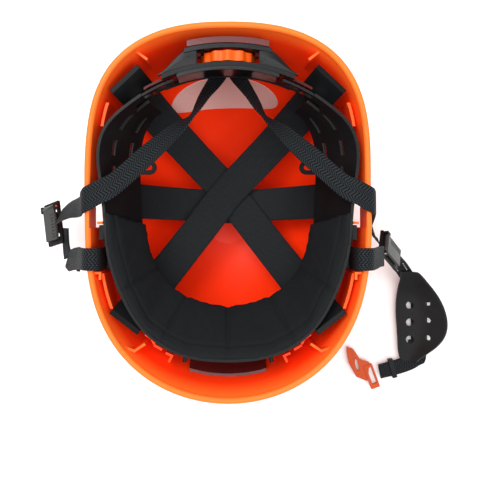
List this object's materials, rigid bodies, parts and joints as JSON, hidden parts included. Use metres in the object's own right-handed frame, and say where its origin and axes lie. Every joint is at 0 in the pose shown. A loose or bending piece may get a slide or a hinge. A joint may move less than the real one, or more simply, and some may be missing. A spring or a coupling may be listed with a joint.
{
  "type": "forestry helmet",
  "caption": "Orange arborist safety helmet lying on its crown, with a six-point webbing cradle, ratchet headband, sweatband and chin strap.",
  "frame": {"origin": "middle of the small flat on the crown that the upturned helmet rests on", "axes": "+Z out of the head opening, -Y towards the peak, +Y towards the nape, +X towards the chin cup's side"},
  "size_m": [0.3786, 0.3193, 0.1521],
  "materials": {
    "shell_orange": "glossy moulded ABS",
    "label": "printed film",
    "smoked": "smoked clear plastic",
    "wide_webbing": "woven",
    "webbing": "woven herringbone",
    "black_plastic": "fine moulded grain",
    "glossy_black": "glossy, textured",
    "grey_plastic": "fine moulded grain",
    "rack_plastic": "smoked, glossy",
    "padding": "soft knit over foam",
    "knob_orange": "satin moulded",
    "buckle_red": "satin moulded",
    "rubber": "matte rubber",
    "steel": "zinc plated"
  },
  "bodies": {
    "helmet": {"shell": "shell_orange", "inner_label": "label", "peak_strip": "smoked", "crown_strap_side": "wide_webbing", "crown_strap_a": "wide_webbing", "crown_strap_b": "wide_webbing", "hanger_rear_left": "black_plastic", "hanger_rear_right": "black_plastic", "hanger_front_left": "black_plastic", "hanger_front_right": "black_plastic", "hanger_side_left": "black_plastic", "hanger_side_right": "black_plastic", "headband_front_left": "black_plastic", "headband_front_right": "black_plastic", "headband_side_left": "black_plastic", "headband_side_right": "black_plastic", "sweatband": "padding", "rear_strap_anchor": "black_plastic", "side_anchor_left": "black_plastic", "side_anchor_right": "black_plastic", "rear_leg_left_inner": "webbing", "rear_leg_right_inner": "webbing", "front_leg_left_inner": "webbing", "front_leg_right_inner": "webbing"},
    "nape_cradle": {"nape_band": "glossy_black", "ratchet_housing": "black_plastic", "ratchet_cover": "glossy_black", "rear_guard": "smoked", "housing_screws": "steel", "click_spring": "steel"},
    "size_knob": {"size_knob": "knob_orange", "pinion": "black_plastic"},
    "rack_left": {"rack_arm_left": "rack_plastic"},
    "rack_right": {"rack_arm_right": "rack_plastic"},
    "left_straps": {"rear_leg_left": "webbing", "front_leg_left": "webbing", "lower_web_left": "webbing", "divider_base_left": "black_plastic", "divider_pin_left": "steel"},
    "left_cam": {"divider_cam_left": "grey_plastic"},
    "receiver": {"buckle_receiver": "black_plastic"},
    "right_straps": {"rear_leg_right": "webbing", "front_leg_right": "webbing", "divider_base_right": "black_plastic", "divider_pin_right": "steel"},
    "right_cam": {"divider_cam_right": "grey_plastic"},
    "chin_strap": {"chin_strap": "webbing", "strap_keeper": "black_plastic"},
    "chin_cup": {"chin_cup": "rubber"},
    "hook_buckle": {"hook_buckle": "buckle_red"}
  },
  "joints": [
    {"name": "nape_tilt", "type": "hinge", "parent": "helmet", "child": "nape_cradle", "pos_m": [0, 0.0975, 0.136], "axis": [1, 0, 0], "range_deg": [-6, 6]},
    {"name": "knob_turn", "type": "hinge", "parent": "nape_cradle", "child": "size_knob", "pos_m": [0, 0.1175, 0.13], "axis": [0, 1, 0], "range_deg": [-90, 90]},
    {"name": "rack_left_slide", "type": "hinge", "parent": "nape_cradle", "child": "rack_left", "pos_m": [0, -0.016, 0.136], "axis": [0, 0, 1], "range_deg": [-3.1, 3.1]},
    {"name": "rack_right_slide", "type": "hinge", "parent": "nape_cradle", "child": "rack_right", "pos_m": [0, -0.016, 0.136], "axis": [0, 0, 1], "range_deg": [-3.1, 3.1]},
    {"name": "left_strap_swing", "type": "hinge", "parent": "helmet", "child": "left_straps", "pos_m": [-0.103, -0.01, 0.1516], "axis": [0, 1, 0], "range_deg": [0, 150]},
    {"name": "left_cam_open", "type": "hinge", "parent": "left_straps", "child": "left_cam", "pos_m": [-0.15887, 0.00322, 0.06741], "axis": [-0.7655, -0.2257, -0.6026], "range_deg": [0, 70]},
    {"name": "receiver_swing", "type": "hinge", "parent": "left_straps", "child": "receiver", "pos_m": [-0.1335, -0.041, 0.0853], "axis": [0.0995, 0.995, 0], "range_deg": [-20, 35]},
    {"name": "right_strap_swing", "type": "hinge", "parent": "helmet", "child": "right_straps", "pos_m": [0.103, -0.01, 0.1516], "axis": [0, -1, 0], "range_deg": [0, 150]},
    {"name": "right_cam_open", "type": "hinge", "parent": "right_straps", "child": "right_cam", "pos_m": [0.13649, -0.02656, 0.08427], "axis": [-0.2138, -0.8562, 0.4704], "range_deg": [0, 70]},
    {"name": "chin_strap_swing", "type": "hinge", "parent": "right_straps", "child": "chin_strap", "pos_m": [0.1535, -0.0448, 0.0585], "axis": [-1, 0, 0], "range_deg": [0, 45]},
    {"name": "cup_slide", "type": "slide", "parent": "chin_strap", "child": "chin_cup", "axis": [0, -1, 0], "range_m": [0, 0.008]},
    {"name": "buckle_swing", "type": "hinge", "parent": "chin_strap", "child": "hook_buckle", "pos_m": [0.1482, -0.1592, 0.0054], "axis": [-0.2497, 0.9683, 0], "range_deg": [0, 80]}
  ],
  "couplings": [
    {"joint": "rack_left_slide", "follows": "knob_turn", "ratio": -0.033},
    {"joint": "rack_right_slide", "follows": "knob_turn", "ratio": 0.033}
  ]
}
